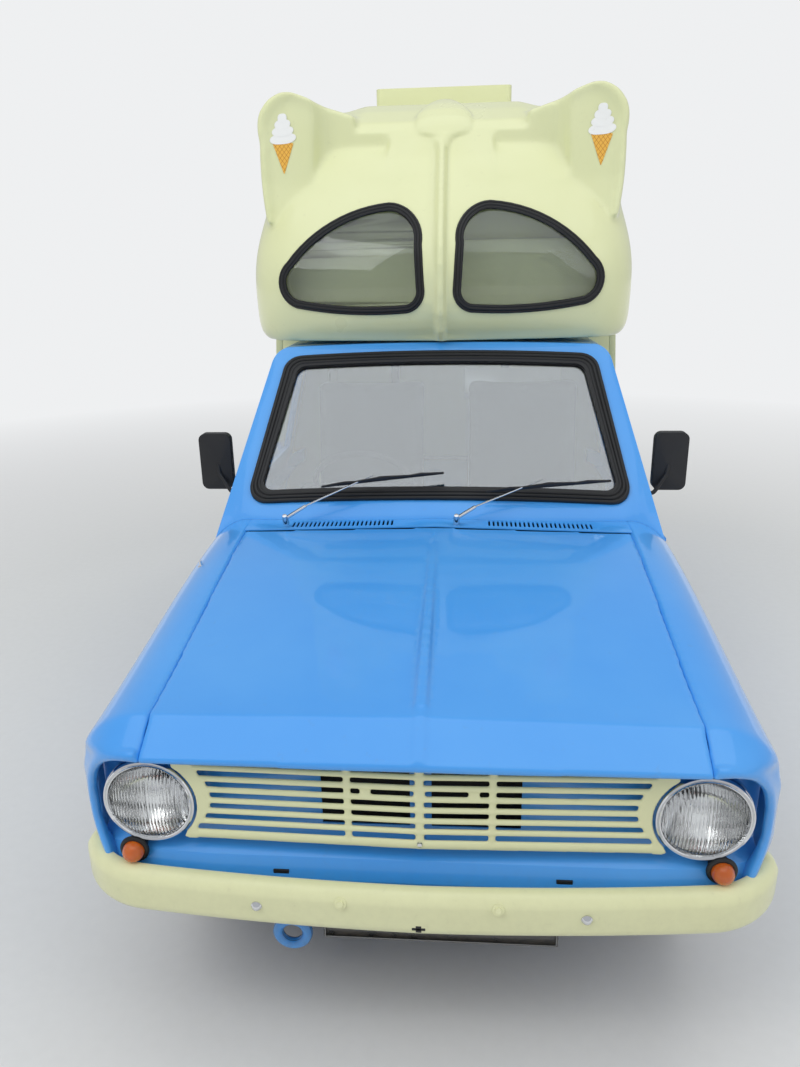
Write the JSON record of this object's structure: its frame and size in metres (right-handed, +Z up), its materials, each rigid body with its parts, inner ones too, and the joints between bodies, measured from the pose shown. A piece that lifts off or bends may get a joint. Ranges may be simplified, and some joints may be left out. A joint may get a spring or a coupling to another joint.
{
  "type": "ice cream van",
  "caption": "Small ice cream van with a moulded selling body and overcab pod, rolling wheels, steering, opening doors and bonnet.",
  "frame": {"origin": "on the ground, midway between the bumpers, on the centre line", "axes": "+X to the vehicle's left (kerb side), +Y to the rear, +Z up"},
  "size_m": [1.692, 3.9, 2.3598],
  "materials": {
    "body_blue": "gloss blue paint",
    "cream_moulding": "gloss cream moulded glass fibre",
    "cream_paint": "gloss cream paint",
    "chassis_black": "satin black paint",
    "dark_metal": "oily cast metal",
    "bright_metal": "polished chrome",
    "wheel_paint": "silver grey paint",
    "tyre_rubber": "matt",
    "seal_rubber": "satin black",
    "clear_glass": "clear",
    "lamp_glass": "fluted",
    "amber_lens": "clear amber",
    "red_lens": "clear red",
    "black_plastic": "grained black",
    "seat_vinyl": "black vinyl",
    "plate_black": "blank black plate",
    "white_panel": "white enamel",
    "bare_steel": "dull steel"
  },
  "bodies": {
    "van": {"body_ends": "cream_moulding", "body_roof": "cream_moulding", "body_side_left": "cream_moulding", "body_side_right": "cream_moulding", "bumper_front": "cream_paint", "bumper_rear": "cream_paint", "cab_shell": "body_blue", "chassis_frame": "chassis_black", "dashboard": "black_plastic", "driveline": "dark_metal", "engine": "dark_metal", "exhaust": "bare_steel", "floor_pan": "body_blue", "freezer": "white_panel", "front_suspension": "chassis_black", "front_wings": "body_blue", "fuel_tank": "chassis_black", "grille": "cream_paint", "headlamp_lenses": "lamp_glass", "headlamps": "bright_metal", "indicator_bases": "seal_rubber", "indicator_lenses": "amber_lens", "inner_wings": "body_blue", "nose_panel": "body_blue", "number_plates": "plate_black", "overcab_pod": "cream_moulding", "rear_axle": "chassis_black", "rear_lamps": "red_lens", "scuttle": "body_blue", "seat_cushions": "seat_vinyl", "seat_frames": "chassis_black", "sills": "body_blue", "skirts": "body_blue", "steering_wheel": "black_plastic", "wheel_boxes": "body_blue", "window_glass": "clear_glass", "window_seals": "seal_rubber", "windscreen": "clear_glass", "windscreen_frame": "body_blue", "wipers": "bare_steel"},
    "bonnet": {"bonnet": "body_blue"},
    "door_left": {"door_left": "body_blue", "door_glass_left": "clear_glass", "mirror_left": "black_plastic"},
    "door_right": {"door_right": "body_blue", "door_glass_right": "clear_glass", "mirror_right": "black_plastic"},
    "rear_door": {"rear_door": "cream_moulding", "rear_door_glass": "clear_glass"},
    "knuckle_left": {"knuckle_left": "dark_metal"},
    "knuckle_right": {"knuckle_right": "dark_metal"},
    "wheel_front_left": {"rim_front_left": "wheel_paint", "tyre_front_left": "tyre_rubber"},
    "wheel_front_right": {"rim_front_right": "wheel_paint", "tyre_front_right": "tyre_rubber"},
    "wheel_rear_left": {"rim_rear_left": "wheel_paint", "tyre_rear_left": "tyre_rubber"},
    "wheel_rear_right": {"rim_rear_right": "wheel_paint", "tyre_rear_right": "tyre_rubber"}
  },
  "joints": [
    {"name": "steer_left", "type": "hinge", "parent": "van", "child": "knuckle_left", "pos_m": [0.555, -1.25, 0.288], "axis": [0, 0, 1], "range_deg": [-32, 32]},
    {"name": "steer_right", "type": "hinge", "parent": "van", "child": "knuckle_right", "pos_m": [-0.555, -1.25, 0.288], "axis": [0, 0, 1], "range_deg": [-32, 32]},
    {"name": "door_left_hinge", "type": "hinge", "parent": "van", "child": "door_left", "pos_m": [0.757, -0.713, 0.8], "axis": [0, 0, -1], "range_deg": [0, 65]},
    {"name": "door_right_hinge", "type": "hinge", "parent": "van", "child": "door_right", "pos_m": [-0.757, -0.713, 0.8], "axis": [0, 0, 1], "range_deg": [0, 65]},
    {"name": "bonnet_hinge", "type": "hinge", "parent": "van", "child": "bonnet", "pos_m": [0, -0.897, 0.95], "axis": [-1, 0, 0], "range_deg": [0, 60]},
    {"name": "rear_door_hinge", "type": "hinge", "parent": "van", "child": "rear_door", "pos_m": [-0.33, 1.9, 1.2], "axis": [0, 0, 1], "range_deg": [0, 100]},
    {"name": "wheel_front_left_spin", "type": "hinge", "parent": "knuckle_left", "child": "wheel_front_left", "pos_m": [0.61, -1.25, 0.288], "axis": [1, 0, 0], "continuous": true},
    {"name": "wheel_front_right_spin", "type": "hinge", "parent": "knuckle_right", "child": "wheel_front_right", "pos_m": [-0.61, -1.25, 0.288], "axis": [1, 0, 0], "continuous": true},
    {"name": "wheel_rear_left_spin", "type": "hinge", "parent": "van", "child": "wheel_rear_left", "pos_m": [0.61, 1.074, 0.288], "axis": [1, 0, 0], "continuous": true},
    {"name": "wheel_rear_right_spin", "type": "hinge", "parent": "van", "child": "wheel_rear_right", "pos_m": [-0.61, 1.074, 0.288], "axis": [1, 0, 0], "continuous": true}
  ],
  "couplings": [
    {"joint": "steer_right", "follows": "steer_left", "ratio": 1}
  ]
}
